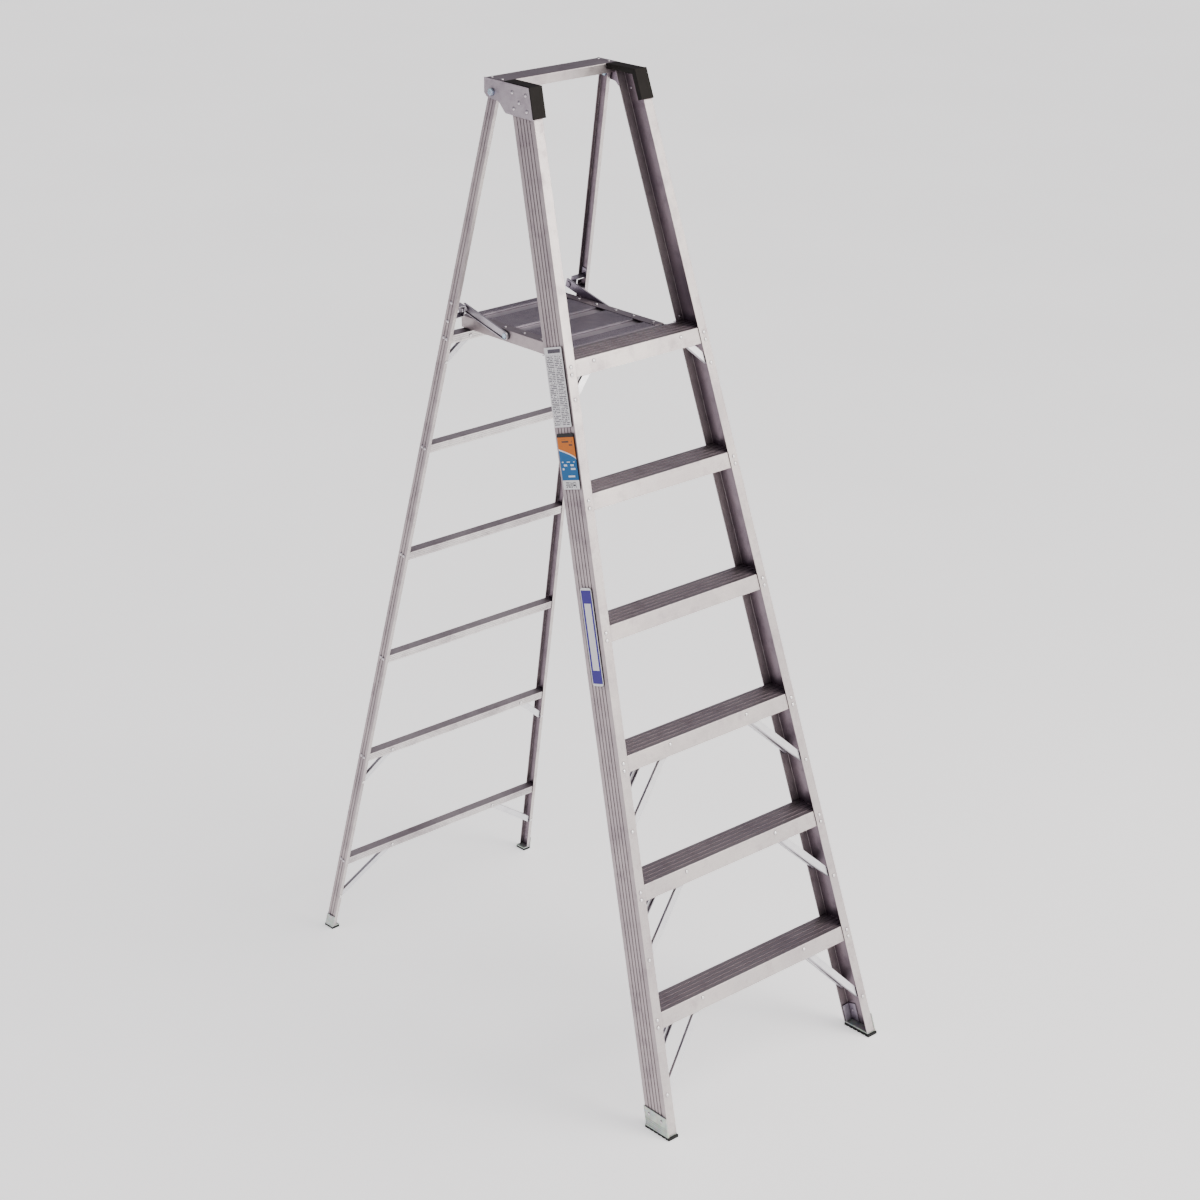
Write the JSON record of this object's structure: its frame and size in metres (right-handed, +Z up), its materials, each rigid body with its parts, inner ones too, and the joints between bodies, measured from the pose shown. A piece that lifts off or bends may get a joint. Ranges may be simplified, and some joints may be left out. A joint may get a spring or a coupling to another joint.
{
  "type": "platform step ladder",
  "caption": "Folding platform step ladder with channel rails, flat braced steps, a standing platform tied by two links, and a runged rear section.",
  "frame": {"origin": "on the floor, in the middle of the footprint of the open ladder", "axes": "+Z up, -Y towards the climber, +Y towards the rear section, +X to the climber's right"},
  "size_m": [0.7126, 1.356, 2.3423],
  "materials": {
    "mill_aluminium": "mill finish extruded and rolled aluminium, faint lengthwise lines",
    "deck_board": "mill finish extruded aluminium with ribs across it",
    "zinc_steel": "pressed steel with pale zinc plating",
    "zinc_bolt": "bright zinc plated steel with a blue tint",
    "rivet": "bright set aluminium rivet",
    "black_plastic": "black moulded plastic, fine texture",
    "rubber_sole": "black grooved rubber"
  },
  "bodies": {
    "front_frame": {"brace_rivets": "rivet", "corner_cover_left": "black_plastic", "corner_cover_right": "black_plastic", "foot_brackets": "zinc_steel", "frame_rivets": "rivet", "front_boot_left": "zinc_steel", "front_boot_right": "zinc_steel", "front_pad_left": "rubber_sole", "front_pad_right": "rubber_sole", "front_rail_left": "mill_aluminium", "front_rail_right": "mill_aluminium", "gusset_left": "mill_aluminium", "gusset_right": "mill_aluminium", "hinge_bracket_left": "zinc_steel", "hinge_bracket_right": "zinc_steel", "hinge_pins": "zinc_bolt", "pivot_bolts": "zinc_bolt", "platform_step": "mill_aluminium", "platform_step_braces": "mill_aluminium", "rail_angles": "zinc_steel", "step_1": "mill_aluminium", "step_1_braces": "mill_aluminium", "step_2": "mill_aluminium", "step_2_braces": "mill_aluminium", "step_3": "mill_aluminium", "step_3_braces": "mill_aluminium", "step_4": "mill_aluminium", "step_5": "mill_aluminium", "step_rivets": "rivet", "top_channel": "mill_aluminium"},
    "rear_frame": {"link_bracket_left": "zinc_steel", "link_bracket_right": "zinc_steel", "rear_braces": "mill_aluminium", "rear_pad_left": "rubber_sole", "rear_pad_right": "rubber_sole", "rear_rail_left": "mill_aluminium", "rear_rail_right": "mill_aluminium", "rear_rivets": "rivet", "rear_rung_1": "mill_aluminium", "rear_rung_2": "mill_aluminium", "rear_rung_3": "mill_aluminium", "rear_rung_4": "mill_aluminium", "rear_rung_5": "mill_aluminium", "rear_rung_6": "mill_aluminium", "rear_shoe_left": "zinc_steel", "rear_shoe_right": "zinc_steel"},
    "platform": {"deck_board_1": "deck_board", "deck_board_2": "deck_board", "deck_board_3": "deck_board", "deck_board_4": "deck_board", "deck_rivets": "rivet", "deck_strips": "mill_aluminium", "link_pins": "zinc_bolt", "side_channel_left": "mill_aluminium", "side_channel_right": "mill_aluminium"},
    "link_left": {"link_left": "zinc_steel"},
    "link_right": {"link_right": "zinc_steel"}
  },
  "joints": [
    {"name": "rear_fold", "type": "hinge", "parent": "front_frame", "child": "rear_frame", "pos_m": [0, 0.1374, 2.31058], "axis": [-1, 0, 0], "range_deg": [0, 29]},
    {"name": "platform_fold", "type": "hinge", "parent": "front_frame", "child": "platform", "pos_m": [0, -0.07807, 1.738], "axis": [1, 0, 0], "range_deg": [0, 72.97]},
    {"name": "link_left_swing", "type": "hinge", "parent": "platform", "child": "link_left", "pos_m": [-0.1602, 0.11893, 1.737], "axis": [-1, 0, 0], "range_deg": [0, 176.18]},
    {"name": "link_right_swing", "type": "hinge", "parent": "platform", "child": "link_right", "pos_m": [0.1602, 0.11893, 1.737], "axis": [-1, 0, 0], "range_deg": [0, 176.18]}
  ],
  "couplings": [
    {"joint": "platform_fold", "follows": "rear_fold", "ratio": 2.5162},
    {"joint": "link_left_swing", "follows": "rear_fold", "ratio": 6.0752},
    {"joint": "link_right_swing", "follows": "rear_fold", "ratio": 6.0752}
  ]
}
